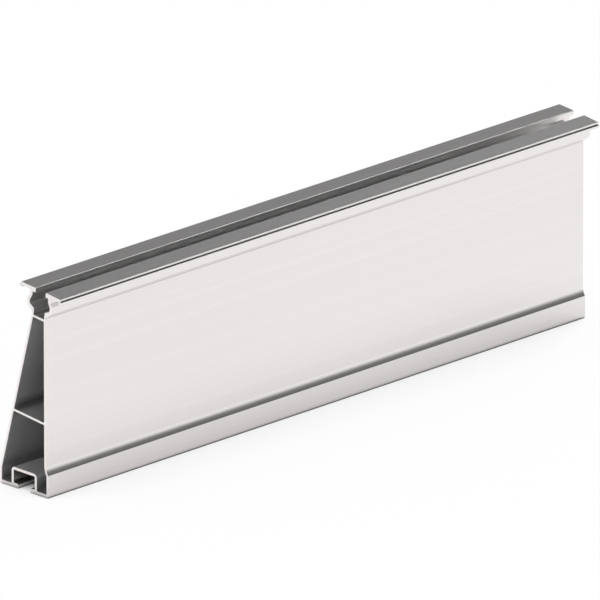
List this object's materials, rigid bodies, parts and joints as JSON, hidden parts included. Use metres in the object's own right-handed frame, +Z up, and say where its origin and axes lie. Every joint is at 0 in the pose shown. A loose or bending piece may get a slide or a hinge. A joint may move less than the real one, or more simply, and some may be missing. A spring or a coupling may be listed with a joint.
{
  "type": "solar mounting rail",
  "caption": "Extruded aluminium rail with a wide channelled foot, a leaning hollow body and a slotted head with two clamping flanges for solar panels.",
  "frame": {"origin": "middle of the underside: centred on the length and on the width over the foot and the front flange, on the floor", "axes": "+X along the rail, away from the end nearest the camera; -Y out of the upright front wall; +Z up, from the foot to the slotted head"},
  "size_m": [0.57, 0.0656, 0.1648],
  "materials": {
    "mill_aluminium": "mill finish, satin, with fine extrusion lines along the length"
  },
  "bodies": {
    "root": {"mounting_rail": "mill_aluminium"}
  },
  "joints": []
}
